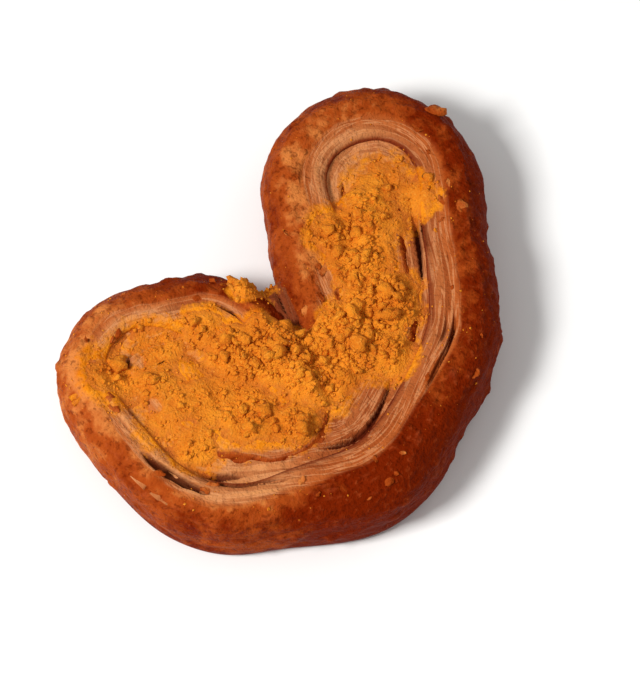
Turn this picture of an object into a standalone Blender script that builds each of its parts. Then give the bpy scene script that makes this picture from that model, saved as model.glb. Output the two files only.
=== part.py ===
"""Palmier pastry: one strip of puff pastry, folded in from both ends to the middle, cut as a slice and baked
lying on its cut side.

Seen from above, the strip starts inside the left lobe, runs to the middle seam, folds back up to the notch,
goes round the left lobe, the belly and the right lobe, comes back to the middle seam and ends inside the
right lobe. The folds have baked together, so the pastry is one solid, with a crease between each fold and
the next.

Metres, +Z up. The pastry lies flat: its underside is at z = 0 and the notch of the heart points to +Y. The
origin is at the middle of its bounding box, on the underside.
"""

import math

import bmesh
import bpy
from mathutils import Matrix, Vector

MM = 0.001

# Driving dimensions
THICKNESS = 14.8 * MM  # top of the outer fold above the tray
CREASE = 0.5 * MM  # open gap left between neighbouring folds
CREASE_DEPTH = 3.0 * MM  # from the top of a fold down to where the folds are one dough
UNDERSIDE_CREASE = 0.8 * MM  # the same on the tray side, which baked flat
TOP_ROUNDING = 2.8 * MM  # the baked edge between side and top
TRAY_ROUNDING = 1.4 * MM  # the small edge between side and underside
CROWN = 0.6 * MM  # how far the middle of a fold stands above its shoulders
LAYER_SAG = 0.9 * MM  # how far the folds inside the outer wrap lie below it
OVEN_RISE = 0.6 * MM  # how unevenly the strip has risen along its length
STATION_STEP = 2.0 * MM  # distance between two cross-sections of the strip
END_ROUNDING = 4.0 * MM  # length over which a loose end of the strip closes
SOFTENING = 3  # how many times the folded line is evened out, which bows its straight runs

# The strip lies like an anticlockwise belt round these rollers. Each row: name, centre x, centre y, radius to
# the belt's outer side, width of the strip there, and how far its top lies down (1 is a full LAYER_SAG).
ROLLERS = (
    ("left end", -21.8 * MM, 5.2 * MM, 6.3 * MM, 12.6 * MM, 1.0),
    ("left inner flank", -16.6 * MM, -6.0 * MM, 12.7 * MM, 11.8 * MM, 1.0),
    ("left pin", -13.2 * MM, -12.2 * MM, 11.4 * MM, 10.0 * MM, 1.0),
    ("left cheek", -15.6 * MM, 2.0 * MM, 16.0 * MM, 12.8 * MM, 0.5),
    ("left lobe", -22.3 * MM, 5.6 * MM, 15.2 * MM, 8.0 * MM, 0.0),
    ("left flank", -17.0 * MM, -8.5 * MM, 21.4 * MM, 8.0 * MM, 0.1),
    ("belly", -5.2 * MM, -17.2 * MM, 20.8 * MM, 11.8 * MM, 0.0),
    ("right flank", 6.4 * MM, -7.6 * MM, 25.2 * MM, 11.4 * MM, 0.0),
    ("right lobe", 26.0 * MM, 6.6 * MM, 17.7 * MM, 10.4 * MM, 0.0),
    ("right cheek", 18.3 * MM, -0.2 * MM, 15.2 * MM, 12.0 * MM, 0.4),
    ("right pin", 8.1 * MM, -11.6 * MM, 9.7 * MM, 8.8 * MM, 1.0),
    ("right end", 24.6 * MM, 6.6 * MM, 6.2 * MM, 12.4 * MM, 1.0),
)

PASTRY_COLOUR = (0.44, 0.17, 0.05, 1.0)
PASTRY_ROUGHNESS = 0.55


class Station:
    """One place along the middle of the strip: where it is, how wide the strip is and how far it lies down."""

    def __init__(self, place, width, sag, roller):
        self.place = place
        self.width = width
        self.sag = sag
        self.roller = roller

    def toward(self, other, share):
        place = self.place.lerp(other.place, share)
        width = self.width + (other.width - self.width) * share
        sag = self.sag + (other.sag - self.sag) * share
        return Station(place, width, sag, self.roller)


def tangent_heading(centre_a, radius_a, centre_b, radius_b):
    """Heading of the straight run that leaves one anticlockwise roller and meets the next."""
    between = centre_b - centre_a
    return math.atan2(between.y, between.x) - math.asin((radius_b - radius_a) / between.length)


def belt_corners():
    """Stations along the folded strip, close together on the rollers and far apart between them."""
    centres = [Vector((x, y)) for _, x, y, _, _, _ in ROLLERS]
    radii = [outer - width / 2 for _, _, _, outer, width, _ in ROLLERS]
    stops = list(zip(centres, radii))
    headings = [tangent_heading(*a, *b) for a, b in zip(stops, stops[1:])]
    arrivals = [headings[0]] + headings
    departures = headings + [headings[-1]]
    corners = []
    for roller, arrive, leave, (centre, radius) in zip(ROLLERS, arrivals, departures, stops):
        name, _, _, _, width, sag = roller
        turn = (leave - arrive) % math.tau
        pieces = max(1, round(radius * turn / (0.5 * MM)))
        for k in range(pieces + 1):
            heading = arrive + turn * k / pieces
            place = centre + radius * Vector((math.sin(heading), -math.cos(heading)))
            corners.append(Station(place, width, sag, name))
    return corners


def folded_path(step):
    """Stations a step apart along the middle of the folded strip."""
    corners = belt_corners()
    lengths = [0.0]
    for a, b in zip(corners, corners[1:]):
        lengths.append(lengths[-1] + (b.place - a.place).length)
    count = round(lengths[-1] / step)
    stations = []
    i = 0
    for k in range(count + 1):
        along = lengths[-1] * k / count
        while i < len(corners) - 2 and lengths[i + 1] < along:
            i += 1
        span = lengths[i + 1] - lengths[i]
        stations.append(corners[i].toward(corners[i + 1], (along - lengths[i]) / span if span else 0.0))
    for _ in range(SOFTENING):
        inner = zip(stations, stations[1:], stations[2:])
        evened = [here.toward(before.toward(after, 0.5), 0.5) for before, here, after in inner]
        stations = [stations[0], *evened, stations[-1]]
    return stations


def quarter(centre, radius, start, pieces):
    """Points of a quarter circle in the cross-section, anticlockwise from the angle start."""
    for k in range(pieces + 1):
        angle = start + math.pi / 2 * k / pieces
        yield (centre[0] + radius * math.cos(angle), centre[1] + radius * math.sin(angle))


def cross_section(half_width, height):
    """Outline of one fold as (across, up) pairs: flat underneath, rounded and crowned on top."""
    shoulder = height - CROWN - TOP_ROUNDING
    points = []
    points += quarter((half_width - TRAY_ROUNDING, TRAY_ROUNDING), TRAY_ROUNDING, -math.pi / 2, 1)
    points += quarter((half_width - TOP_ROUNDING, shoulder), TOP_ROUNDING, 0.0, 3)
    points.append((0.0, height))
    points += quarter((TOP_ROUNDING - half_width, shoulder), TOP_ROUNDING, math.pi / 2, 3)
    points += quarter((TRAY_ROUNDING - half_width, TRAY_ROUNDING), TRAY_ROUNDING, math.pi, 1)
    return points


def height_at(station, along):
    """Height of the fold's crown: the full thickness, less its sag and less where it rose the least."""
    unrisen = 0.5 + 0.5 * math.sin(along / (8.0 * MM)) * math.cos(along / (19.0 * MM))
    return THICKNESS - LAYER_SAG * station.sag - OVEN_RISE * unrisen


def closing(distance):
    """Share of the full width that is left this far from a loose end of the strip."""
    share = min(1.0, distance / END_ROUNDING)
    return 0.35 + 0.65 * math.sqrt(max(0.0, 1.0 - (1.0 - share) ** 2))


def make_folded_strip(path):
    """Sweeps the cross-section along the path, as one closed tube."""
    bm = bmesh.new()
    length = STATION_STEP * (len(path) - 1)
    rings = []
    for k, station in enumerate(path):
        ahead = path[min(k + 1, len(path) - 1)].place
        behind = path[max(k - 1, 0)].place
        heading = (ahead - behind).normalized()
        outward = Vector((heading.y, -heading.x))
        along = STATION_STEP * k
        half_width = (station.width - CREASE) / 2
        narrowing = closing(min(along, length - along))
        ring = []
        for across, up in cross_section(half_width, height_at(station, along)):
            place = station.place + outward * across * narrowing
            ring.append(bm.verts.new((place.x, place.y, up)))
        rings.append(ring)
    for near, far in zip(rings, rings[1:]):
        for i in range(len(near)):
            j = (i + 1) % len(near)
            bm.faces.new((near[i], near[j], far[j], far[i]))
    bm.faces.new(rings[0])
    bm.faces.new(rings[-1])
    bmesh.ops.recalc_face_normals(bm, faces=bm.faces)
    return named_object("palmier", bm)


def make_fused_dough(path):
    """The dough below the creases, out to the middle of the outer wrap: a heart-shaped plate."""
    wrap = [station for station in path if not station.roller.endswith(("pin", "end", "inner flank"))]
    bm = bmesh.new()
    face = bm.faces.new([bm.verts.new((s.place.x, s.place.y, UNDERSIDE_CREASE)) for s in wrap])
    raised = bmesh.ops.extrude_face_region(bm, geom=[face])
    top = [v for v in raised["geom"] if isinstance(v, bmesh.types.BMVert)]
    bmesh.ops.translate(bm, verts=top, vec=(0, 0, THICKNESS - CREASE_DEPTH - UNDERSIDE_CREASE))
    bmesh.ops.triangulate(bm, faces=bm.faces[:])
    bmesh.ops.recalc_face_normals(bm, faces=bm.faces)
    dough = named_object("fused_dough", bm)
    dough.hide_render = True
    dough.display_type = "WIRE"
    return dough


def named_object(name, bm):
    mesh = bpy.data.meshes.new(name)
    bm.to_mesh(mesh)
    bm.free()
    made = bpy.data.objects.new(name, mesh)
    bpy.context.scene.collection.objects.link(made)
    return made


def baked_material():
    material = bpy.data.materials.new("caramelised_pastry")
    material.use_nodes = True
    shader = material.node_tree.nodes["Principled BSDF"]
    shader.inputs["Base Color"].default_value = PASTRY_COLOUR
    shader.inputs["Roughness"].default_value = PASTRY_ROUGHNESS
    shader.inputs["Metallic"].default_value = 0.0
    return material


def stand_on_origin(objects):
    """Moves the meshes so that the bounding box of the first is centred on the origin in plan."""
    xs = [v.co.x for v in objects[0].data.vertices]
    ys = [v.co.y for v in objects[0].data.vertices]
    shift = Matrix.Translation((-(min(xs) + max(xs)) / 2, -(min(ys) + max(ys)) / 2, 0.0))
    for made in objects:
        made.data.transform(shift)


def main():
    for old in list(bpy.data.objects):
        bpy.data.objects.remove(old)
    path = folded_path(STATION_STEP)
    palmier = make_folded_strip(path)
    dough = make_fused_dough(path)
    stand_on_origin([palmier, dough])
    fuse = palmier.modifiers.new("fuse", "BOOLEAN")
    fuse.operation = "UNION"
    fuse.object = dough
    palmier.data.materials.append(baked_material())
    palmier.data.shade_smooth()
    palmier.data.set_sharp_from_angle(angle=math.radians(50))


main()
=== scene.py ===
# %% [markdown]
# # A palmier with salted egg-yolk crumb
#
# A palmier is one strip of puff pastry. Both ends are rolled to the middle, the roll is sliced, and the
# slice bakes lying on its cut side. This lesson makes the strip as a flat sheet, gives it the section of
# baked dough, lays it along the folded line, and then dusts it with egg-yolk powder and crumbs. Lengths are
# written in millimetres and turned into metres when a mesh is finished.

# %% Load the frame
import math

import bmesh
import bpy
import numpy as np
from mathutils import Matrix, Vector, noise
from mathutils.bvhtree import BVHTree
from mathutils.kdtree import KDTree


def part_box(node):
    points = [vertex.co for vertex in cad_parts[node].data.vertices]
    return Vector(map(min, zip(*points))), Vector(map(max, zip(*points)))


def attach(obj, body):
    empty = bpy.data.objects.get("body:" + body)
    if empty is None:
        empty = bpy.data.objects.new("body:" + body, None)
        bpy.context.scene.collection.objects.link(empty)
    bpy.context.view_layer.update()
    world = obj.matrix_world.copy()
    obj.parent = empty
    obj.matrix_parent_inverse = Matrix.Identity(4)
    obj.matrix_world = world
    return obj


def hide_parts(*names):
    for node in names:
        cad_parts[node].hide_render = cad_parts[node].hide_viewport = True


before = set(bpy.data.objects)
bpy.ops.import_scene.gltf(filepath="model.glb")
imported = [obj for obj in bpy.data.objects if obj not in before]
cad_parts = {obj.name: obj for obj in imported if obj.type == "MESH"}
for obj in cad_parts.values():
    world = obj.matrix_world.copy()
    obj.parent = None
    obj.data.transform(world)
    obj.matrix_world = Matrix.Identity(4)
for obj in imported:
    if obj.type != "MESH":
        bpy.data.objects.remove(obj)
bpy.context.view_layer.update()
low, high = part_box("palmier")
MM = 0.001
THICKNESS = (high[2] - low[2]) / MM
print("pastry box in mm:", [round((h - l) / MM, 1) for l, h in zip(low, high)])

# %% [markdown]
# ## The folded line
#
# Seen from above, the strip runs like an anticlockwise belt round a row of rollers: out of the left lobe,
# round a pin beside the middle seam, up to the notch, round the heart and back in on the other side. A belt
# needs only a centre and a radius for each roller, where a traced outline would need a hundred points. Each
# roller also says how wide the strip is there, how far its top has sunk, how wide its brown rim is, how
# dark it is, which is partly its baking and partly painted light and shade, and how far its layers have
# parted.

# %% Rollers of the belt
# The baking_and_shading column is partly real browning and partly painted light: the left lobe is set paler
# where it faces the light.
ROLLERS = (
    # name, centre x and y, radius to the outer side, width, sag, rim, baking_and_shading, parting
    ("left end", -21.8, 5.2, 6.3, 12.6, 1.0, 1.5, 0.3, 0.0),
    ("left inner flank", -16.6, -6.0, 12.7, 11.8, 1.0, 1.5, 0.4, 0.2),
    ("left pin", -13.2, -12.2, 11.4, 10.0, 1.0, 2.0, 0.75, 0.4),
    ("left cheek", -15.6, 2.0, 16.0, 12.8, 0.5, 4.4, 0.5, 0.7),
    ("left lobe", -22.3, 5.6, 15.2, 8.0, 0.0, 4.2, -0.2, 0.1),
    ("left flank", -17.0, -8.5, 21.4, 8.0, 0.1, 2.8, 0.3, 1.0),
    ("belly", -5.2, -17.2, 20.8, 11.8, 0.0, 7.2, 1.3, 0.0),
    ("right flank", 6.4, -7.6, 25.2, 11.4, 0.0, 6.0, 0.8, 1.0),
    ("right lobe", 26.0, 6.6, 17.7, 10.4, 0.0, 6.0, 0.2, 0.0),
    ("right cheek", 18.3, -0.2, 15.2, 12.0, 0.4, 7.4, 0.15, 0.0),
    ("right pin", 8.1, -11.6, 9.7, 8.8, 1.0, 2.0, 0.75, 0.3),
    ("right end", 24.6, 6.6, 6.2, 12.4, 1.0, 1.5, 0.3, 0.0),
)
STEP = 0.56  # distance between two stations of the line
BEND_PIECE = 0.5  # length of one straight piece on a roller
SOFTENING = 36  # rounds of evening out, which bow the straight runs


def tangent_heading(a, b):
    """Heading of the straight run from one anticlockwise roller to the next; each is (x, y, radius)."""
    dx, dy = b[0] - a[0], b[1] - a[1]
    return math.atan2(dy, dx) - math.asin((b[2] - a[2]) / math.hypot(dx, dy))


def folded_line():
    """Stations along the strip, as rows of x, y, width, sag, rim, baking_and_shading and parting."""
    rollers = [(x, y, outer - width / 2) for _, x, y, outer, width, *_ in ROLLERS]
    headings = [tangent_heading(a, b) for a, b in zip(rollers, rollers[1:])]
    arrivals = [headings[0]] + headings
    departures = headings + [headings[-1]]
    corners = []
    for row, (x, y, radius), arrive, leave in zip(ROLLERS, rollers, arrivals, departures):
        turn = (leave - arrive) % math.tau
        pieces = max(1, round(radius * turn / BEND_PIECE))
        for heading in np.linspace(arrive, arrive + turn, pieces + 1):
            corners.append((x + radius * math.sin(heading), y - radius * math.cos(heading), *row[4:]))
    corners = np.array(corners)
    lengths = np.append(0.0, np.cumsum(np.hypot(*np.diff(corners[:, :2], axis=0).T)))
    along = np.linspace(0.0, lengths[-1], round(lengths[-1] / STEP) + 1)
    line = np.stack([np.interp(along, lengths, column) for column in corners.T], axis=1)
    for _ in range(SOFTENING):
        line[1:-1] = (line[:-2] + 2 * line[1:-1] + line[2:]) / 4
    return line


line = folded_line()
line_length = STEP * (len(line) - 1)
print("stations:", len(line), "strip length in mm:", round(line_length))

# %% [markdown]
# ## Unevenness
#
# Nothing in an oven rises evenly. Blender's own Perlin noise, read at points that are stretched or squeezed
# first, gives long streaks, round bubbles or small lumps, and the same result on every run.

# %% Noise at many points
def lumps(points, size, seed):
    """Smooth noise from about -1 to 1 at each point; size is the spacing of the lumps on each axis."""
    scaled = np.asarray(points, dtype=float) / size + seed * 7.31
    return np.array([noise.noise(p) for p in scaled.tolist()])


def bubbles(points, size, seed):
    """0 at the middle of a bubble, growing to about 1 at its edge."""
    scaled = np.asarray(points, dtype=float) / size + seed * 5.17
    return np.array([noise.voronoi(p)[0][0] for p in scaled.tolist()])


def ramp(low_edge, high_edge, values):
    """0 below the low edge and 1 above the high edge, with a smooth rise between."""
    share = np.clip((values - low_edge) / (high_edge - low_edge), 0.0, 1.0)
    return share * share * (3 - 2 * share)


# %% [markdown]
# ## The section of the strip
#
# Cut across, the strip is a rounded block: flat where it lay on the tray, a bulging side that the caramel
# browned, a thick rounded rim, and a cut face of thin layers that falls away to the crease. The section is
# walked once round, and each stretch of the walk adds its own run or quarter turn.

# %% Walk round the section
TRAY_ROUNDING = 1.4
RIM_ROUNDING = 4.2
CREASE_ROUNDING = 1.8
CREASE = 0.5
STRETCHES = {
    "tray": (0.00, 0.05),
    "outer tray corner": (0.05, 0.08),
    "outer side": (0.08, 0.22),
    "rim": (0.22, 0.33),
    "cut face": (0.33, 0.85),
    "crease corner": (0.85, 0.92),
    "crease side": (0.92, 0.98),
    "inner tray corner": (0.98, 1.00),
}


def section(around, half, height):
    """Across and up of the bare section, and how far along each stretch a point is."""
    done = {name: np.clip((around - a) / (b - a), 0.0, 1.0) for name, (a, b) in STRETCHES.items()}
    quarter = {name: share * math.pi / 2 for name, share in done.items()}
    tray, rim, crease = TRAY_ROUNDING, RIM_ROUNDING, CREASE_ROUNDING
    across = tray - half
    across = across + 2 * (half - tray) * done["tray"]
    across = across + tray * np.sin(quarter["outer tray corner"])
    across = across - rim * (1 - np.cos(quarter["rim"]))
    across = across - (2 * half - rim - crease) * done["cut face"]
    across = across - crease * np.sin(quarter["crease corner"])
    across = across + tray * (1 - np.cos(quarter["inner tray corner"]))
    up = tray * (1 - np.cos(quarter["outer tray corner"]))
    up = up + (height - tray - rim) * done["outer side"]
    up = up + rim * np.sin(quarter["rim"])
    up = up - crease * (1 - np.cos(quarter["crease corner"]))
    up = up - (height - tray - crease) * done["crease side"]
    up = up - tray * np.sin(quarter["inner tray corner"])
    return across, up, done


# %% [markdown]
# ## Relief of the baked strip
#
# The cut face carries the story of a palmier: a brown rim, a small step, then pale flaky layers that run
# along the strip, with slits where two layers parted. The outer side is one skin of caramelised dough with
# blisters and wrinkles.

# %% Relief functions
ROWS = len(line) - 1
COLUMNS = 150
OVEN_RISE = 0.7  # how unevenly the strip has risen along its length
LAYER_SAG = 0.9  # how far the folds inside the outer wrap lie below it


def laminations(along, from_outside, parting):
    """Relief of layers that run along the strip, and how far two of them have parted, from 0 to 1."""
    on_strip = np.stack([along, from_outside, np.zeros_like(along)], axis=1)
    wander = np.stack([0 * along, 0.9 * lumps(on_strip, (30.0, 3.0, 1.0), 2), 0 * along], axis=1)
    warped = on_strip + wander
    layers = 1 - 2 * np.abs(lumps(warped, (26.0, 2.2, 1.0), 3))
    fine = lumps(warped, (14.0, 0.8, 1.0), 4)
    slit = ramp(0.25, 0.45, lumps(warped, (15.0, 1.3, 1.0), 5) - 0.4 * (1 - parting))
    return 0.1 * layers + 0.04 * fine - 0.1 - 1.2 * slit, slit


def strip_relief(along, across, up, half, rim, parting, done):
    """How far each point moves up on the cut face and out on the side, and what the place is like."""
    from_outside = half - across
    on_strip = np.stack([along, from_outside, np.zeros_like(along)], axis=1)
    on_top = ramp(0.0, 1.0, done["rim"]) * (1 - ramp(0.3, 1.0, done["crease corner"]))
    on_side = ramp(0.0, 0.3, done["outer side"]) * (1 - ramp(0.4, 1.0, done["rim"]))
    edge = rim + 0.8 * lumps(on_strip, (13.0, 4.0, 1.0), 1)
    past_edge = from_outside - edge
    flaky = ramp(-1.0, 1.0, past_edge)
    layers, slit = laminations(along, from_outside, parting)
    slit = slit * flaky
    top = flaky * (layers - 0.5 - 0.05 * past_edge)
    top += 0.45 * lumps(on_strip, (8.0, 5.0, 1.0), 6) + 0.2 * lumps(on_strip, (2.6, 2.1, 1.0), 7)
    rough = 0.25 * lumps(on_strip, (1.2, 1.0, 1.0), 8) + 0.32 * lumps(on_strip, (2.4, 1.8, 1.0), 17)
    top += (1 - flaky) * rough
    on_skin = np.stack([along, up + 2 * from_outside, np.zeros_like(along)], axis=1)
    blister = ramp(-0.5, -0.12, -bubbles(on_skin, 2.4, 15)) * ramp(-0.1, 0.3, lumps(on_skin, 5.0, 16))
    top += (1 - flaky) * 0.45 * blister + 0.25 * parting * lumps(on_strip, (2.2, 1.6, 1.0), 18)
    barrel = 1.1 * np.sin(math.pi * np.clip(up / THICKNESS, 0, 1)) - 0.7
    side = 0.45 * blister + 0.6 * lumps(on_skin, (6.0, 5.5, 1.0), 9)
    side += 0.3 * lumps(on_skin, (2.3, 1.9, 1.0), 10) + 0.12 * lumps(on_skin, (0.9, 0.8, 1.0), 11)
    looks = {"flaky": flaky * on_top, "slit": slit * on_top, "rim_share": from_outside / rim}
    looks["blister"] = blister * np.maximum(on_side, on_top) * (1 - flaky)
    bulge = barrel * ramp(0.0, 1.0, done["tray"]) * (1 - ramp(0.0, 1.0, done["rim"]))
    return top * on_top, bulge + side * on_side, looks


# %% [markdown]
# ## Where the powder lies
#
# The powder was thrown on by hand. A few round heaps with soft edges say where it is thick, and noise
# breaks their outlines up. The pastry needs this map too, because its surface is dusted around the heaps.

# %% Heaps of powder
HEAPS = (
    # centre x and y, radius, thickness
    (-30.4, 14.4, 7.6, 0.5),
    (-27.0, 9.0, 7.0, 0.5),
    (-22.5, 13.0, 7.0, 0.5),
    (-14.5, 11.5, 5.0, 0.6),
    (-29.5, 3.5, 6.2, 0.5),
    (-22.0, 3.0, 9.0, 0.55),
    (-28.5, -2.5, 5.4, 0.7),
    (-19.0, -4.5, 7.5, 0.8),
    (-14.5, -10.0, 5.5, 0.8),
    (-13.0, 5.0, 6.5, 1.5),
    (-8.0, 1.5, 8.0, 2.0),
    (-6.0, -5.5, 8.5, 1.6),
    (2.0, -5.0, 9.0, 1.8),
    (10.0, -3.5, 7.5, 1.9),
    (4.5, -10.5, 6.0, 1.1),
    (12.0, 3.5, 7.0, 1.4),
    (13.0, 10.0, 6.0, 1.0),
    (19.5, 8.5, 7.0, 0.9),
    (23.8, 11.4, 7.0, 0.55),
    (26.0, 7.0, 5.0, 0.6),
    (-3.4, 13.2, 4.4, 2.0),
    (-1.8, 9.4, 2.8, 0.4),
)
BARE = -1.6  # thickness far from every heap
HOLE = (-0.6, 5.4, 3.4, 3.6)  # centre x and y, radius and depth of the bare place below the notch


def distance_to(points, x, y):
    return np.hypot(points[:, 0] - x, points[:, 1] - y)


def powder_thickness(points):
    """Thickness of the powder in millimetres; below 0 there is none."""
    heap = np.full(len(points), BARE)
    for x, y, radius, thick in HEAPS:
        distance = distance_to(points, x, y) / radius
        heap = np.maximum(heap, thick + 0.5 - (0.9 + thick) * distance ** 2)
    x, y, radius, depth = HOLE
    hole = depth * np.exp(-(distance_to(points, x, y) / radius) ** 2)
    pits = 1.3 * ramp(0.42, 0.65, lumps(points, 4.6, 27))
    return heap - hole - pits + 0.5 * lumps(points, 5.0, 21) + 0.4 * lumps(points, 2.0, 22)


# %% [markdown]
# ## Painted shade on the crust
#
# A crust never browns evenly. The rollers say how dark each part of the strip is, and two soft round spots
# darken the crust further: painted shade on the parts turned away from the light.

# %% Spots of painted shade
SHADED_SPOTS = (
    # centre x and y, radius, how much darker the crust is painted there
    (-16.0, 21.0, 11.0, 0.55),
    (40.0, 8.0, 18.0, 0.85),
)


def shaded_spots(points):
    """How much darker each point is painted than its roller says: painted shade."""
    extra = np.zeros(len(points))
    for x, y, radius, darker in SHADED_SPOTS:
        extra += darker * np.exp(-(distance_to(points, x, y) / radius) ** 2)
    return extra


# %% [markdown]
# ## The strip
#
# The strip starts as a flat grid: its columns go round the section and its rows run along the folded line.
# Moving the vertices is then one sum for the whole sheet, and the same numbers are kept on the mesh for its
# material. The first and last columns meet, so a weld closes the tube and two caps close its ends.

# %% Flat sheets, and what finishes a piece
WELD = 1e-6  # metres


def dough_sheet(name, rows, columns):
    """A flat sheet, and where each of its vertices lies on it: across and along, both from 0 to 1."""
    bm = bmesh.new()
    bmesh.ops.create_grid(bm, x_segments=columns, y_segments=rows, size=0.5)
    mesh = bpy.data.meshes.new(name)
    bm.to_mesh(mesh)
    bm.free()
    flat = np.empty(len(mesh.vertices) * 3)
    mesh.vertices.foreach_get("co", flat)
    flat = flat.reshape(-1, 3) + 0.5
    return mesh, flat[:, 0], flat[:, 1]


def store(mesh, name, values):
    """Keeps one number for each vertex, under a name that a material can read."""
    mesh.attributes.new(name, "FLOAT", "POINT").data.foreach_set("value", values.astype(np.float32))


def finish_piece(mesh, material, close_seam=False):
    """Welds the seam, closes the ends, turns faces outward and puts the piece in the scene."""
    bm = bmesh.new()
    bm.from_mesh(mesh)
    if close_seam:
        bmesh.ops.remove_doubles(bm, verts=bm.verts, dist=WELD)
        bmesh.ops.holes_fill(bm, edges=[e for e in bm.edges if e.is_boundary], sides=0)
        bmesh.ops.triangulate(bm, faces=[f for f in bm.faces if len(f.verts) > 4])
    bmesh.ops.recalc_face_normals(bm, faces=bm.faces)
    bm.to_mesh(mesh)
    bm.free()
    mesh.shade_smooth()
    mesh.materials.append(material)
    piece = bpy.data.objects.new(mesh.name, mesh)
    bpy.context.scene.collection.objects.link(piece)
    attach(piece, "root")
    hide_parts("palmier")
    return piece


# %% Middle of the heart
def outward_normals(places):
    """Unit vectors that point out of the heart, to the right of the way the line runs."""
    heading = np.gradient(places, axis=0)
    heading /= np.linalg.norm(heading, axis=1)[:, None]
    return np.stack([heading[:, 1], -heading[:, 0]], axis=1)


def heart_centre():
    """Middle of the heart's box on the folded line's own axes, which goes to the frame's origin."""
    outward = outward_normals(line[:, :2])
    edge = line[:, :2] + outward * ((line[:, 2] - CREASE) / 2)[:, None]
    return (edge.min(axis=0) + edge.max(axis=0)) / 2


centre = heart_centre()
places = line[:, :2] - centre
outward = outward_normals(places)
print("middle of the heart on the line's axes:", centre.round(2))

# %% Lay the strip along the line
END_ROUNDING = 4.0  # length over which a loose end of the strip closes
END_SHARE = 0.35  # how much of its width the strip still has at its very end


def lay_strip():
    """The whole folded strip, as one closed tube with its relief."""
    mesh, around, share = dough_sheet("folded_strip", ROWS, COLUMNS)
    station = np.rint(share * ROWS).astype(int)
    along = station * STEP
    width, sag, rim, baking_and_shading, parting = line[station, 2:].T
    to_end = np.minimum(along, line_length - along)
    rounding = np.sqrt(1 - (1 - np.clip(to_end / END_ROUNDING, 0, 1)) ** 2)
    closing = END_SHARE + (1 - END_SHARE) * rounding
    on_line = np.stack([along, 0 * along, 0 * along], axis=1)
    half = (width - CREASE) / 2 * closing * (1 + 0.05 * lumps(on_line, (9.0, 1, 1), 12))
    height = THICKNESS - LAYER_SAG * sag - OVEN_RISE * (0.5 + 0.5 * lumps(on_line, (14.0, 1, 1), 13))
    across, up, done = section(around, half, height)
    top, side, looks = strip_relief(along, across, up, half, rim, parting, done)
    shift = 0.4 * lumps(on_line, (12.0, 1, 1), 14)
    flat = places[station] + outward[station] * (across + side + shift)[:, None]
    raised = np.maximum(up + top, 0.0)
    co = np.stack([flat[:, 0], flat[:, 1], raised], axis=1)
    mesh.vertices.foreach_set("co", (co * MM).ravel())
    looks["along"] = along
    looks["from_outside"] = half - across
    # how dark the crust is: baking, the rollers' painted light and the painted shade of the spots
    looks["baking_and_shading"] = baking_and_shading + shaded_spots(flat)
    middle = np.sin(math.pi * np.clip(up / THICKNESS, 0, 1))
    exposed = 1 - ramp(0.6, 0.95, sag)
    looks["side"] = (1 - ramp(0.2, 1.0, done["rim"])) * (1.0 - 0.45 * middle) * exposed
    # painted shade on the faces that go down into the crease
    looks["crease"] = ramp(0.0, 1.0, done["crease corner"]) * (1 - done["inner tray corner"])
    level = np.stack([flat[:, 0], flat[:, 1], 0 * along], axis=1)
    looks["dust"] = ramp(-1.15, 0.3, powder_thickness(level)) * ramp(0.3, 1.0, done["rim"])
    for name, values in looks.items():
        store(mesh, name, values)
    return mesh


strip_mesh = lay_strip()
print("strip faces:", len(strip_mesh.polygons))

# %% [markdown]
# ## Materials written as sums
#
# A material is a graph of nodes, and most of them only add, multiply or compare. A small class wraps a
# socket and gives it Python's operators, so a sum of sockets adds its own Math nodes, and the materials
# below read like formulas.

# %% Shader maths
class Wire:
    """A shader socket that can be added, multiplied and compared like a number."""

    def __init__(self, tree, socket):
        self.tree = tree
        self.socket = socket

    def node(self, kind, settings=None, inputs=None, output=0):
        made = self.tree.nodes.new(kind)
        for name, value in (settings or {}).items():
            setattr(made, name, value)
        for name, value in (inputs or {}).items():
            if isinstance(value, Wire):
                self.tree.links.new(value.socket, made.inputs[name])
            else:
                made.inputs[name].default_value = value
        return Wire(self.tree, made.outputs[output])

    def maths(self, operation, *values, clamp=False):
        settings = {"operation": operation, "use_clamp": clamp}
        return self.node("ShaderNodeMath", settings, dict(enumerate(values)))

    def __add__(self, other):
        return self.maths("ADD", self, other)

    __radd__ = __add__

    def __mul__(self, other):
        return self.maths("MULTIPLY", self, other)

    __rmul__ = __mul__

    def __sub__(self, other):
        return self.maths("SUBTRACT", self, other)

    def __rsub__(self, other):
        return self.maths("SUBTRACT", other, self)

    def absolute(self):
        return self.maths("ABSOLUTE", self)

    def clamped(self):
        return self.maths("ADD", self, 0.0, clamp=True)

    def smooth(self, low_edge, high_edge):
        """0 below the low edge and 1 above the high edge."""
        settings = {"interpolation_type": "SMOOTHSTEP"}
        return self.node("ShaderNodeMapRange", settings, {0: self, 1: low_edge, 2: high_edge})


def paint(red, green, blue):
    """A colour named by its screen values, 0 to 255, as the linear colour a shader wants."""
    screen = [value / 255 for value in (red, green, blue)]
    return tuple(v / 12.92 if v <= 0.04045 else ((v + 0.055) / 1.055) ** 2.4 for v in screen) + (1.0,)


def mix(start, share, first, second):
    """The first colour where share is 0 and the second where it is 1."""
    return start.node("ShaderNodeMix", {"data_type": "RGBA"}, {0: share, 6: first, 7: second}, output=2)


def new_material(name):
    material = bpy.data.materials.new(name)
    material.use_nodes = True
    tree = material.node_tree
    shader = tree.nodes["Principled BSDF"]
    start = Wire(tree, shader.outputs[0])
    return material, tree, shader, start


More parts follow.
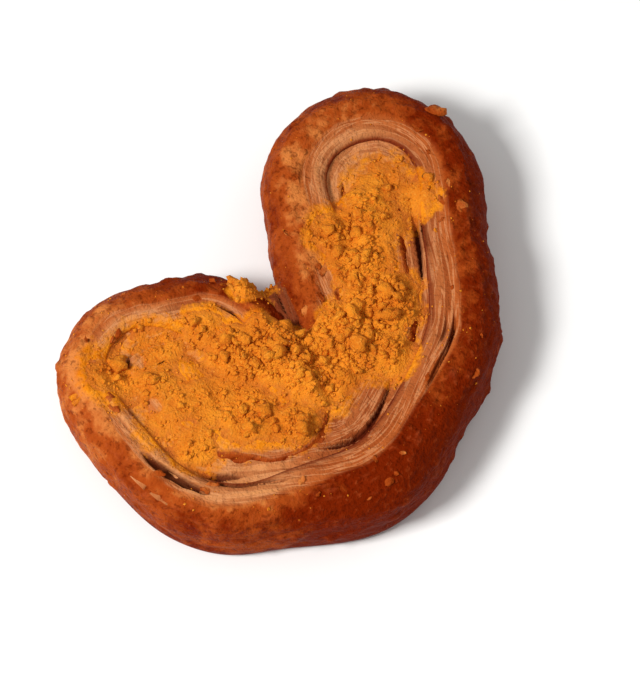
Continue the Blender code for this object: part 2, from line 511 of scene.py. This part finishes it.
def object_noise(start, size, detail=3.0, roughness=0.55, stretch=(1, 1, 1)):
    """Noise on the piece's own coordinates, with lumps of a size in millimetres."""
    place = start.node("ShaderNodeTexCoord", output="Object")
    place = start.node("ShaderNodeMapping", {}, {"Vector": place, "Scale": stretch})
    inputs = {"Vector": place, "Scale": 1 / (size * MM), "Detail": detail, "Roughness": roughness}
    return start.node("ShaderNodeTexNoise", {}, inputs)


def attribute(start, name):
    return start.node("ShaderNodeAttribute", {"attribute_name": name}, output="Fac")


def connect(tree, wire, shader, socket):
    tree.links.new(wire.socket, shader.inputs[socket])


# %% [markdown]
# ## Egg-yolk orange
#
# The same dry yolk dusts the crust, covers it in heaps and makes up the crumbs, so its colour is one
# function that each of those materials calls.

# %% Yolk colour
def yolk_colour(start):
    """Egg-yolk orange, with painted highlights on the grains and painted shade between the clumps."""
    blotch = object_noise(start, 6.0, 3.0)
    grain = object_noise(start, 0.4, 3.0)
    clump = object_noise(start, 1.5, 3.0)
    colour = mix(start, blotch.smooth(0.35, 0.65), paint(212, 116, 16), paint(230, 137, 26))
    # painted highlights: the grains are painted lighter
    colour = mix(start, grain.smooth(0.52, 0.72) * 0.55, colour, paint(240, 162, 56))
    # painted shade: the colour is deeper between the clumps
    colour = mix(start, (0.48 - clump).smooth(0.0, 0.18) * 0.4, colour, paint(194, 90, 12))
    return colour, grain, clump


# %% [markdown]
# ## Baked pastry
#
# Caramel browns first where the dough stands proud and faces out, and stays pale where layers shelter each
# other. The first layers inside the rim still took some caramel, and further in they are paler, with thin
# light lines where single leaves end. The strip carries numbers for that: how flaky the place is, how deep
# its slits are, how dark it baked with painted shading added, and how far inside a crease it lies. Slits
# and creases are darkened as painted shade, and light specks and blisters on the crust are painted
# highlights.

# %% Pastry material
def baked_pastry():
    material, tree, shader, start = new_material("baked_pastry")
    flaky = attribute(start, "flaky")
    slit = attribute(start, "slit")
    baking_and_shading = attribute(start, "baking_and_shading")
    crease = attribute(start, "crease")
    side = attribute(start, "side")
    dust = attribute(start, "dust")
    along = attribute(start, "along")
    from_outside = attribute(start, "from_outside")
    rim_share = attribute(start, "rim_share")
    blister = attribute(start, "blister")
    blotch = object_noise(start, 6.0, 4.0)
    freckle = object_noise(start, 0.9, 3.0)
    streak_place = start.node("ShaderNodeCombineXYZ", {}, {0: along * 0.07, 1: from_outside * 1.1, 2: 0.0})
    streak = start.node("ShaderNodeTexNoise", {}, {"Vector": streak_place, "Scale": 1.0, "Detail": 3.0})
    patch = object_noise(start, 2.2, 4.0)
    uneven = (blotch - 0.5) * 1.2 + (patch - 0.5) * 1.1
    dark = (baking_and_shading * 0.85 + side * 0.6 - rim_share.smooth(0.6, 1.3) * 0.12 + uneven + 0.04).clamped()
    crust = mix(start, dark.smooth(0.0, 0.45), paint(205, 120, 57), paint(160, 68, 20))
    crust = mix(start, dark.smooth(0.4, 1.0), crust, paint(112, 29, 2))
    # painted highlights: light pinkish specks and lighter blisters on the crust
    crust = mix(start, freckle.smooth(0.54, 0.76) * 0.28, crust, paint(184, 86, 42))
    crust = mix(start, blister * 0.22, crust, paint(186, 88, 48))
    crust = mix(start, (0.46 - freckle).smooth(0.0, 0.12) * 0.5, crust, paint(80, 16, 1))
    layers = mix(start, streak.smooth(0.3, 0.7), paint(142, 66, 30), paint(174, 94, 48))
    far_in = rim_share.smooth(1.0, 1.55)
    layers = mix(start, (1.0 - far_in) * 0.6, layers, paint(182, 90, 37))
    sheltered = (0.95 - baking_and_shading).smooth(0.0, 0.6) * far_in * (0.42 + streak.smooth(0.35, 0.65) * 0.5)
    layers = mix(start, sheltered, layers, paint(214, 142, 86))
    layers = mix(start, patch.smooth(0.46, 0.72) * 0.55, layers, paint(150, 70, 32))
    thin_line = (0.04 - (streak - 0.5).absolute()).smooth(0.0, 0.03)
    layers = mix(start, thin_line * 0.5, layers, paint(216, 148, 98))
    colour = mix(start, flaky.smooth(0.15, 0.95), crust, layers)
    # painted shade: darker in the creases and at the foot of the notch
    colour = mix(start, crease * 0.75, colour, paint(104, 42, 26))
    # painted shade: the slits are painted dark
    colour = mix(start, slit * 0.9, colour, paint(76, 22, 8))
    yolk, _, _ = yolk_colour(start)
    dusted = (dust * 1.5 + (freckle - 0.5) * 2.0 - 0.55).clamped()
    colour = mix(start, dusted, colour, yolk)
    connect(tree, colour, shader, "Base Color")
    gloss = 0.42 + flaky * 0.25 + dusted * 0.3 + (freckle - 0.5) * 0.3
    connect(tree, gloss, shader, "Roughness")
    shader.inputs["Specular IOR Level"].default_value = 0.012
    shader.inputs["Specular Tint"].default_value = (1.0, 0.6, 0.42, 1.0)
    grain = object_noise(start, 0.45, 3.0)
    relief = freckle * 0.6 + grain * 0.3 + streak * flaky * 0.4
    bump = start.node("ShaderNodeBump", {}, {"Strength": 0.9, "Distance": 0.0007, "Height": relief})
    connect(tree, bump, shader, "Normal")
    return material


strip = finish_piece(strip_mesh, baked_pastry(), close_seam=True)

# %% [markdown]
# ## Blankets that settle on the pastry
#
# Two things lie in the creases: the dough that joins the folds, and the powder. Both behave like a cloth
# laid on a rough floor, which hides the narrow gaps and follows the wide shapes. So a fine grid is dropped
# on what is there, evened out, and then given its own relief. Parts that would float outside the heart are
# cut away, and a solidify closes what is left.

# %% Blanket helpers
CELL = 0.32
BLANKET = (83.0, 63.0)
GRID = (round(BLANKET[1] / CELL), round(BLANKET[0] / CELL))  # rows and columns
DROP_HEIGHT = 0.05  # metres above the floor from which the ground is looked for


def ground_of(*pieces):
    """A tree for finding the surface of several pieces straight below a point."""
    bm = bmesh.new()
    for piece in pieces:
        bm.from_mesh(piece.data)
    found = BVHTree.FromBMesh(bm)
    bm.free()
    return found


def height_below(ground, points):
    """Height of the ground below each point, in millimetres; 0 where there is only the floor."""
    down = Vector((0, 0, -1))
    starts = [Vector((x * MM, y * MM, DROP_HEIGHT)) for x, y, _ in points.tolist()]
    hits = [ground.ray_cast(start, down)[0] for start in starts]
    return np.array([hit.z / MM if hit else 0.0 for hit in hits])


def neighbours(grid):
    """The four copies of a grid that are moved by one cell."""
    padded = np.pad(grid, 1, mode="edge")
    return [padded[:-2, 1:-1], padded[2:, 1:-1], padded[1:-1, :-2], padded[1:-1, 2:]]


def blanket(name):
    """A flat grid over the pastry, and its points in plan; the points run row by row."""
    mesh, u, v = dough_sheet(name, *GRID)
    return mesh, np.stack([(u - 0.5) * BLANKET[0], (v - 0.5) * BLANKET[1], 0 * u], axis=1)


def evened_out(level, rounds):
    """The level of a cloth that lies on this ground; more rounds make a stiffer cloth."""
    grid = level.reshape(GRID[0] + 1, GRID[1] + 1)
    for _ in range(rounds):
        grid = (grid * 4 + sum(neighbours(grid))) / 8
    return grid.ravel()


def drawn_in(mask, distance):
    """The part of a region that is at least this far inside its edge."""
    grid = mask.reshape(GRID[0] + 1, GRID[1] + 1)
    for _ in range(round(distance / CELL)):
        grid = grid & np.all(neighbours(grid), axis=0)
    return grid.ravel()


def trim_blanket(mesh, points, up, keep, thickness):
    """Gives the blanket its heights, keeps part of it and closes it."""
    co = np.stack([points[:, 0], points[:, 1], up], axis=1) * MM
    mesh.vertices.foreach_set("co", co.ravel())
    bm = bmesh.new()
    bm.from_mesh(mesh)
    bmesh.ops.delete(bm, geom=[v for v in bm.verts if not keep[v.index]], context="VERTS")
    bmesh.ops.solidify(bm, geom=bm.faces[:], thickness=thickness * MM)
    for v in bm.verts:
        v.co.z = max(v.co.z, 0.0)
    bm.to_mesh(mesh)
    bm.free()
    return mesh


# %% [markdown]
# ## The dough between the folds
#
# Where two folds press together they bake into one dough, a little below the rims. Its layers still run
# round the heart, so each point takes its place along and across from the nearest station of the outer
# wrap, and gets the same layers and the same material as the strip. At the foot of the notch this dough
# droops.

# %% Seam dough
SEAM_TOP = THICKNESS - 2.2
SEAM_LOWEST = THICKNESS - 8.0  # below this the dough has fallen off the folds and is cut away
SEAM_BODY = 3.0  # thickness of the fused dough
SEAM_MARGIN = 3.6  # how far inside the heart's edge it stays
HEART_LOWEST = THICKNESS - 6.0  # lowest place that still counts as the top of the heart
NOTCH_FOOT = (-1.4, 9.6, 3.4)  # end of the strip of dough below the notch, x and y, and half its width
DROOP_START = 8.0  # how far up the notch that strip begins to droop
OUTER_WRAP = 0.75  # stations that have sunk less than this belong to the outer wrap


def fused_level(points):
    """Level of the fused dough, in the middle of the heart and at the foot of the notch; 0 elsewhere."""
    inside = drawn_in(height_below(base, points) > HEART_LOWEST, SEAM_MARGIN)
    x, y, radius = NOTCH_FOOT
    foot = (np.hypot(points[:, 0] - x, np.maximum(points[:, 1] - y, 0)) < radius) & (points[:, 1] > 0)
    droop = 0.8 + 0.16 * np.maximum(points[:, 1] - DROOP_START, 0) ** 2
    return np.where(inside, SEAM_TOP, np.where(foot, SEAM_TOP - droop, 0.0))


def place_on_wrap(points):
    """The wrap's station nearest to each point, and how far in from its outer side the point lies."""
    wrap = np.flatnonzero(line[:, 3] < OUTER_WRAP)
    tree = KDTree(len(wrap))
    for station in wrap.tolist():
        tree.insert((*places[station], 0.0), station)
    tree.balance()
    nearest = np.array([tree.find(point)[1] for point in points.tolist()])
    across = np.sum((points[:, :2] - places[nearest]) * outward[nearest], axis=1)
    return nearest, line[nearest, 2] / 2 - across


def seam_dough(ground):
    mesh, points = blanket("seam_dough")
    fused = fused_level(points)
    settled = evened_out(np.maximum(fused, height_below(ground, points)), 12)
    nearest, from_outside = place_on_wrap(points)
    along = nearest * STEP
    layers, slit = laminations(along, from_outside, 0.7)
    up = settled - 0.45 + layers * 1.1 + 0.4 * lumps(points, 3.5, 31) + 0.2 * lumps(points, 1.3, 32)
    looks = {"along": along, "from_outside": from_outside, "slit": slit, "flaky": 0 * along + 0.9}
    # how dark the dough is: baking, the rollers' painted light and the painted shade of the spots
    looks["baking_and_shading"] = line[nearest, 5] + shaded_spots(points)
    looks["rim_share"] = from_outside / line[nearest, 4]
    # painted shade: darker where the dough lies below its evened level, and round the notch
    notch_shade = ramp(7.0, 4.0, distance_to(points, -1.0, 7.0))
    looks["crease"] = np.maximum(ramp(0.3, 1.8, settled - up) * 0.8, notch_shade)
    within_reach = ramp(THICKNESS - 7.5, THICKNESS - 4.5, up)
    looks["dust"] = ramp(-1.5, 0.2, powder_thickness(points)) * within_reach * 0.8
    for name, values in looks.items():
        store(mesh, name, values)
    return trim_blanket(mesh, points, up, (fused > 0) & (settled > SEAM_LOWEST), SEAM_BODY)


base = ground_of(bpy.data.objects["palmier"])
seam = finish_piece(seam_dough(ground_of(strip)), strip.data.materials[0])
print("seam faces:", len(seam.data.polygons))

# %% [markdown]
# ## Egg-yolk powder
#
# Powder could be a particle system, but a heap of powder hides its grains, so a blanket with clumpy relief
# is better: it follows the pastry below, fills the creases and thins out to nothing at its edge.

# %% Powder
POWDER_EDGE = -0.4  # where the heaps are thinner than this there is no blanket
POWDER_GROUND = THICKNESS - 5.2  # powder that falls lower than this is lost
POWDER_LOWEST = THICKNESS - 4.2  # lowest place to which the blanket itself reaches
POWDER_BODY = 0.8  # how deep the blanket reaches into what it lies on
FULL_FILM = 0.6  # thickness up to which powder is only a film


def yolk_powder(ground):
    mesh, points = blanket("yolk_powder")
    floor = height_below(ground, points)
    settled = evened_out(floor, 16)
    thick = powder_thickness(points)
    billows = 2.4 * np.abs(lumps(points, 5.5, 23)) + 1.1 * np.abs(lumps(points, 2.6, 28)) - 0.9
    ragged = 0.45 * lumps(points, 1.5, 25) + 0.3 * lumps(points, 0.75, 24)
    film = np.minimum(thick, FULL_FILM) * 0.6 + np.clip(thick - FULL_FILM, 0, 1.2)
    up = settled + film + (billows + ragged) * ramp(0.6, 1.8, thick) + 0.12 * lumps(points, 0.8, 26) - 0.25
    keep = (thick > POWDER_EDGE) & (floor > POWDER_GROUND) & (settled > POWDER_LOWEST)
    store(mesh, "thick", thick)
    return trim_blanket(mesh, points, up, keep, POWDER_BODY)


def powder_material(name, film):
    material, tree, shader, start = new_material(name)
    colour, grain, clump = yolk_colour(start)
    if film:
        thin = (0.8 - attribute(start, "thick") + (clump - 0.5) * 1.6).smooth(-0.4, 0.9)
        colour = mix(start, thin * 0.75, colour, paint(178, 84, 30))
    connect(tree, colour, shader, "Base Color")
    shader.inputs["Roughness"].default_value = 0.85
    shader.inputs["Specular IOR Level"].default_value = 0.2
    relief = grain + clump * 1.2
    bump = start.node("ShaderNodeBump", {}, {"Strength": 0.9, "Distance": 0.0005, "Height": relief})
    connect(tree, bump, shader, "Normal")
    return material


powder_mesh = yolk_powder(ground_of(strip, seam))
powder = finish_piece(powder_mesh, powder_material("yolk_powder", film=True))
print("powder faces:", len(powder.data.polygons))

# %% [markdown]
# ## Crumbs
#
# On top of the powder lie single crumbs, from sand to small lumps. Each is a rough stone of twenty faces,
# and all of them are one mesh.

# %% Scatter crumbs
CRUMBS = 7000
CLUMPS = 260
CRUMB_RADII = (0.07, 0.34)
CLUMP_RADII = (0.35, 0.95)
THROWS = 60000  # places that are tried, before chance and the powder's thickness thin them out
THROWN_OVER = ((-38, 36), (-26, 28))  # reach of the throws in x and in y
CRUMB_LOWEST = THICKNESS - 5.6
BATCH = 100  # a bmesh operator looks at every face in its mesh, so a few crumbs are made at a time


def crumb_share(thick):
    """How likely a crumb comes to rest at each place: even bare crust keeps a few."""
    return 0.01 + 0.1 * ramp(-1.0, 0.2, thick) + 0.5 * ramp(0.8, 2.0, thick)


def clump_share(thick):
    """How likely a clump comes to rest at each place: nearly all lie in the heaps."""
    return 0.5 * ramp(0.9, 2.0, thick) + 0.02 * ramp(-0.4, 0.4, thick)


def crumb_places(ground, count, radii, share_of, seed):
    """Where each crumb lies: its size, turn and stretch as one matrix."""
    small, large = radii
    chance = np.random.default_rng(seed)
    thrown = [chance.uniform(*reach, THROWS) for reach in THROWN_OVER]
    spots = np.stack([*thrown, np.zeros(THROWS)], axis=1)
    thick = powder_thickness(spots)
    keep = chance.random(len(spots)) < share_of(thick)
    spots, thick = spots[keep][:count], thick[keep][:count]
    levels = height_below(ground, spots)
    made = []
    for (x, y, _), depth, level in zip(spots, thick, levels):
        growth = 0.8 + 0.4 * float(np.clip(depth, 0, 1.5))
        size = (small + (large - small) * chance.random() ** 4) * growth
        stretch = Matrix.Diagonal([*(chance.uniform(0.6, 1.4, 3) * size * MM), 1.0])
        turn = Matrix.Rotation(chance.uniform(0, math.tau), 4, Vector(chance.normal(size=3)).normalized())
        if level > CRUMB_LOWEST:
            spot = Matrix.Translation(Vector((x, y, level + size * 0.15)) * MM)
            made.append(spot @ turn @ stretch)
    return made


def scatter_crumbs(heap, places, subdivisions):
    """Adds one rough lump to the heap for each place."""
    chance = np.random.default_rng(9)
    mesh = bpy.data.meshes.new("few_crumbs")
    for start in range(0, len(places), BATCH):
        few = bmesh.new()
        for place in places[start:start + BATCH]:
            lump = bmesh.ops.create_icosphere(few, subdivisions=subdivisions, radius=1.0)["verts"]
            for v, push in zip(lump, chance.normal(size=len(lump))):
                v.co *= 1 + 0.24 * float(np.clip(push, -1.8, 1.8))
            bmesh.ops.transform(few, matrix=place, verts=lump)
        few.to_mesh(mesh)
        few.free()
        heap.from_mesh(mesh)
    bpy.data.meshes.remove(mesh)


def make_crumbs(ground):
    heap = bmesh.new()
    scatter_crumbs(heap, crumb_places(ground, CRUMBS, CRUMB_RADII, crumb_share, 8), 1)
    scatter_crumbs(heap, crumb_places(ground, CLUMPS, CLUMP_RADII, clump_share, 18), 2)
    mesh = bpy.data.meshes.new("yolk_crumbs")
    heap.to_mesh(mesh)
    heap.free()
    return mesh


crumb_mesh = make_crumbs(ground_of(strip, seam, powder))
crumbs = finish_piece(crumb_mesh, powder_material("yolk_crumbs", film=False))
print("crumb faces:", len(crumbs.data.polygons))

# %% [markdown]
# ## Loose flakes
#
# The thin outer leaves of the dough lift off as small curled flakes. Each is a little grid, pinched at its
# ends, curled and given the thickness of a leaf. One bigger flake sticks out at the corner of the right
# lobe.

# %% Flakes
FLAKES = 46
LEAF = 0.16  # thickness of one leaf of dough
FLAKE_LOWEST = THICKNESS - 4.0
FROM_ENDS = 60  # stations at each end of the line that carry no flakes
CORNER_FLAKE = ((38.6, 16.2), 5.0, 3.4)  # place, length and width


def add_flake(heap, place, length, width, curl):
    leaf = bmesh.new()
    bmesh.ops.create_grid(leaf, x_segments=8, y_segments=4, size=0.5)
    for v in leaf.verts:
        pinch = 1 - 1.8 * abs(v.co.x) ** 1.3 + 0.5 * noise.noise(place.translation * 900 + v.co * 4)
        bend = curl * (0.6 * v.co.x ** 2 + 0.9 * v.co.y ** 2)
        v.co = Vector((v.co.x * length, v.co.y * width * pinch, bend * length))
    bmesh.ops.solidify(leaf, geom=leaf.faces[:], thickness=LEAF)
    bmesh.ops.transform(leaf, matrix=place @ Matrix.Scale(MM, 4), verts=leaf.verts)
    scrap = bpy.data.meshes.new("flake")
    leaf.to_mesh(scrap)
    leaf.free()
    heap.from_mesh(scrap)
    bpy.data.meshes.remove(scrap)


def scatter_flakes(ground):
    chance = np.random.default_rng(12)
    heap = bmesh.new()
    stations = chance.integers(FROM_ENDS, len(line) - FROM_ENDS, FLAKES)
    for station in stations:
        spot = places[station] + outward[station] * (line[station, 2] / 2 - chance.uniform(1.0, 8.0))
        level = height_below(ground, np.array([[*spot, 0.0]]))[0]
        if level < FLAKE_LOWEST:
            continue
        length = chance.uniform(0.9, 2.6)
        heading = math.atan2(outward[station][0], -outward[station][1]) + chance.normal() * 0.6
        roll = Matrix.Rotation(chance.normal() * 0.22, 4, "X")
        pitch = Matrix.Rotation(chance.normal() * 0.2, 4, "Y")
        perch = Matrix.Translation(Vector((*spot, level + 0.12)) * MM)
        place = perch @ Matrix.Rotation(heading, 4, "Z") @ (roll @ pitch)
        add_flake(heap, place, length, length * chance.uniform(0.4, 0.8), chance.uniform(-0.5, 0.3))
    (x, y), length, width = CORNER_FLAKE
    turn = Matrix.Rotation(math.radians(-40), 4, "Z") @ Matrix.Rotation(math.radians(-6), 4, "Y")
    add_flake(heap, Matrix.Translation(Vector((x, y, THICKNESS - 0.9)) * MM) @ turn, length, width, -0.5)
    mesh = bpy.data.meshes.new("loose_flakes")
    heap.to_mesh(mesh)
    heap.free()
    store(mesh, "baking_and_shading", np.full(len(mesh.vertices), 0.35))
    return mesh


flakes = finish_piece(scatter_flakes(ground_of(strip, seam)), strip.data.materials[0])
print("flake faces:", len(flakes.data.polygons))

# %% [markdown]
# ## Floor, light and camera
#
# A near-white floor, one large soft light from the upper left and a weak fill. The camera looks down across
# the heart's left flank from far away, with a long lens.

# %% Stage
FLOOR_REACH = 1.5  # metres from the pastry to the floor's edge


def make_floor():
    bm = bmesh.new()
    bmesh.ops.create_grid(bm, x_segments=1, y_segments=1, size=FLOOR_REACH)
    mesh = bpy.data.meshes.new("floor")
    bm.to_mesh(mesh)
    bm.free()
    material, _, shader, _ = new_material("floor")
    shader.inputs["Base Color"].default_value = paint(246, 245, 243)
    shader.inputs["Roughness"].default_value = 0.8
    mesh.materials.append(material)
    floor = bpy.data.objects.new("floor", mesh)
    bpy.context.scene.collection.objects.link(floor)


def direction(azimuth, elevation):
    """Unit vector from the pastry towards a viewer or a light; azimuth 0 stands at -Y."""
    a, e = math.radians(azimuth), math.radians(elevation)
    return Vector((math.sin(a) * math.cos(e), -math.cos(a) * math.cos(e), math.sin(e)))


def aim(thing, place, target):
    thing.location = place
    thing.rotation_euler = (target - place).to_track_quat("-Z", "Y").to_euler()


def area_light(name, azimuth, elevation, distance, size, watts):
    lamp = bpy.data.lights.new(name, "AREA")
    lamp.size = size
    lamp.energy = watts
    made = bpy.data.objects.new(name, lamp)
    bpy.context.scene.collection.objects.link(made)
    aim(made, direction(azimuth, elevation) * distance, Vector((0, 0, 0)))


def make_world(strength):
    world = bpy.data.worlds.new("studio")
    world.use_nodes = True
    world.node_tree.nodes["Background"].inputs["Color"].default_value = (1.0, 1.0, 1.0, 1.0)
    world.node_tree.nodes["Background"].inputs["Strength"].default_value = strength
    bpy.context.scene.world = world


# %% Camera, lights and world
CAMERA_AZIMUTH = -42.0
CAMERA_ELEVATION = 64.0
CAMERA_DISTANCE = 1.18  # metres
SENSOR_WIDTH = 36.0
FOCAL_LENGTH = 385.0
KEY_LIGHT = {"azimuth": CAMERA_AZIMUTH - 60, "elevation": 50, "distance": 0.9, "size": 0.24, "watts": 8.3}
FILL_LIGHT = {"azimuth": CAMERA_AZIMUTH + 120, "elevation": 40, "distance": 1.2, "size": 0.8, "watts": 1.5}
DAYLIGHT = 0.4  # strength of the white world


def make_camera():
    lens = bpy.data.cameras.new("camera")
    lens.sensor_width = SENSOR_WIDTH
    lens.lens = FOCAL_LENGTH
    camera = bpy.data.objects.new("camera", lens)
    bpy.context.scene.collection.objects.link(camera)
    target = Vector((0.0, 0.0, 0.35 * THICKNESS * MM))
    aim(camera, target + direction(CAMERA_AZIMUTH, CAMERA_ELEVATION) * CAMERA_DISTANCE, target)
    bpy.context.scene.camera = camera


make_floor()
make_world(DAYLIGHT)
area_light("key", **KEY_LIGHT)
area_light("fill", **FILL_LIGHT)
make_camera()
bpy.context.scene.view_settings.view_transform = "Standard"
print("camera:", bpy.context.scene.camera.location[:], "lights:", [lamp.name for lamp in bpy.data.lights])
